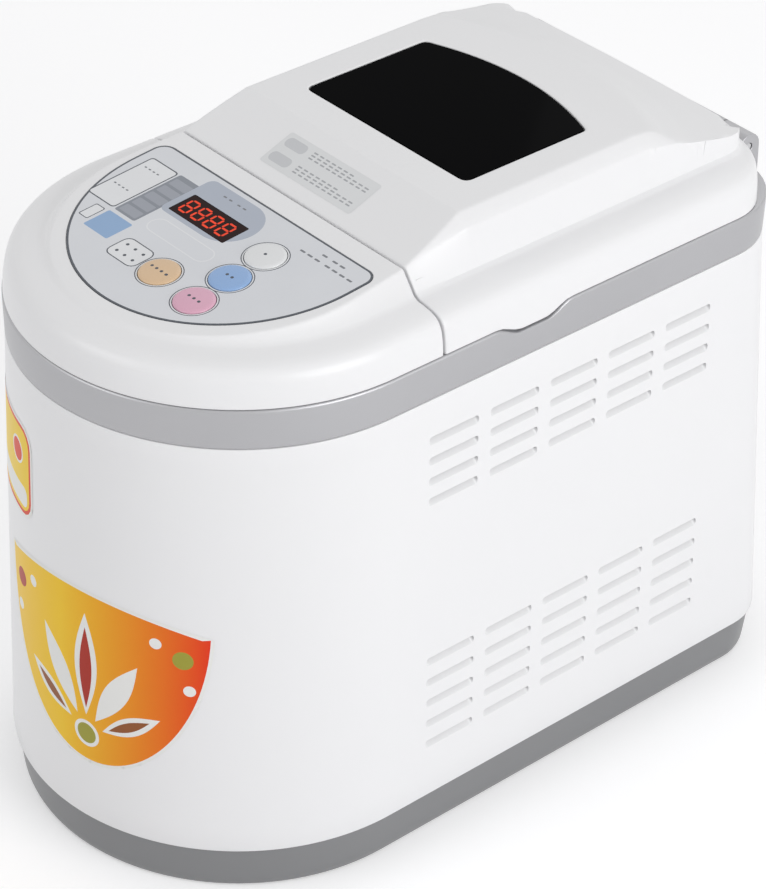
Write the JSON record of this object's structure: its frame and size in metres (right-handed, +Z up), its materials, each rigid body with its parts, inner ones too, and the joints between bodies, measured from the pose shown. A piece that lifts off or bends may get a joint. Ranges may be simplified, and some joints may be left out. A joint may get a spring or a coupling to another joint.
{
  "type": "bread machine",
  "caption": "Countertop bread machine with a round-nosed cabinet, sloping control panel, hinged lid with a window, lift-out pan, bail handle and belt-driven kneading paddle.",
  "frame": {"origin": "centre of the bounding box at the level of the rubber feet", "axes": "+X to the right of someone facing the front, +Y to the hinge at the back, +Z up"},
  "size_m": [0.2272, 0.3854, 0.3202],
  "materials": {
    "white_plastic": "glossy white ABS",
    "silver_plastic": "satin silver paint on plastic",
    "base_grey": "satin grey",
    "rubber": "matte",
    "black_plastic": "satin",
    "dark_glass": "smoked, polished",
    "clear_glass": "clear, polished",
    "silicone": "matte",
    "panel_film": "satin printed film",
    "display_plastic": "polished",
    "button_white": "satin",
    "button_blue": "satin",
    "button_pink": "satin",
    "button_tan": "satin",
    "circuit_board": "solder mask",
    "bright_steel": "satin",
    "zinc_sheet": "galvanised sheet",
    "cast_zinc": "as cast",
    "heater_sheath": "oxidised sheath",
    "ceramic": "unglazed",
    "non_stick": "non-stick coating",
    "motor_can": "plain",
    "transformer_core": "lacquered",
    "capacitor_case": "plain"
  },
  "bodies": {
    "cabinet": {"base_tray": "base_grey", "foot_front_left": "rubber", "foot_front_right": "rubber", "foot_rear_left": "rubber", "foot_rear_right": "rubber", "case_shell": "white_plastic", "top_frame": "silver_plastic", "cord_gland": "black_plastic", "hinge_housing": "silver_plastic", "hinge_pin_right": "bright_steel", "hinge_pin_left": "bright_steel", "control_housing": "white_plastic", "panel_overlay": "panel_film", "display_window": "display_plastic", "display_module": "black_plastic", "switch_white": "black_plastic", "switch_blue": "black_plastic", "switch_pink": "black_plastic", "switch_tan": "black_plastic", "control_board": "circuit_board", "chamber_liner": "zinc_sheet", "heating_element": "heater_sheath", "heater_clip_left": "bright_steel", "heater_clip_right": "bright_steel", "heater_clip_rear": "bright_steel", "heater_bush_left": "ceramic", "heater_bush_right": "ceramic", "temperature_sensor": "bright_steel", "pan_socket": "zinc_sheet", "bread_pan": "non_stick", "pan_seal": "silicone", "chassis": "zinc_sheet", "bearing_housing": "cast_zinc", "motor": "motor_can", "drive_belt": "rubber", "heat_shield": "zinc_sheet", "power_board": "circuit_board", "transformer": "transformer_core", "motor_capacitor": "capacitor_case"},
    "lid": {"lid_shell": "white_plastic", "window_glass": "dark_glass", "lid_liner": "bright_steel", "inner_glass": "clear_glass", "window_gasket": "silicone", "hinge_barrel": "silver_plastic"},
    "bail": {"pan_bail": "bright_steel"},
    "key_white": {"button_white": "button_white"},
    "key_blue": {"button_blue": "button_blue"},
    "key_pink": {"button_pink": "button_pink"},
    "key_tan": {"button_tan": "button_tan"},
    "paddle_drive": {"drive_shaft": "bright_steel", "drive_pulley": "black_plastic", "drive_coupling": "cast_zinc", "pan_coupling": "cast_zinc", "pan_shaft": "bright_steel", "kneading_paddle": "non_stick"},
    "motor_rotor": {"motor_shaft": "bright_steel", "motor_pulley": "cast_zinc"}
  },
  "joints": [
    {"name": "lid_hinge", "type": "hinge", "parent": "cabinet", "child": "lid", "pos_m": [0, 0.17588, 0.2867], "axis": [-1, 0, 0], "range_deg": [0, 85]},
    {"name": "bail_pivot", "type": "hinge", "parent": "cabinet", "child": "bail", "pos_m": [0, 0.06388, 0.239], "axis": [1, 0, 0], "range_deg": [0, 180]},
    {"name": "press_white", "type": "slide", "parent": "cabinet", "child": "key_white", "axis": [0, 0.0896, -0.996], "range_m": [0, 0.0008], "stiffness_N_per_m": 600},
    {"name": "press_blue", "type": "slide", "parent": "cabinet", "child": "key_blue", "axis": [0, 0.0896, -0.996], "range_m": [0, 0.0008], "stiffness_N_per_m": 600},
    {"name": "press_pink", "type": "slide", "parent": "cabinet", "child": "key_pink", "axis": [0, 0.0896, -0.996], "range_m": [0, 0.0008], "stiffness_N_per_m": 600},
    {"name": "press_tan", "type": "slide", "parent": "cabinet", "child": "key_tan", "axis": [0, 0.0896, -0.996], "range_m": [0, 0.0008], "stiffness_N_per_m": 600},
    {"name": "paddle_spin", "type": "hinge", "parent": "cabinet", "child": "paddle_drive", "pos_m": [0, 0.06388, 0.003], "axis": [0, 0, 1], "continuous": true},
    {"name": "rotor_spin", "type": "hinge", "parent": "cabinet", "child": "motor_rotor", "pos_m": [0, -0.10113, 0.003], "axis": [0, 0, 1], "continuous": true}
  ],
  "couplings": [
    {"joint": "rotor_spin", "follows": "paddle_spin", "ratio": 5.5556}
  ]
}
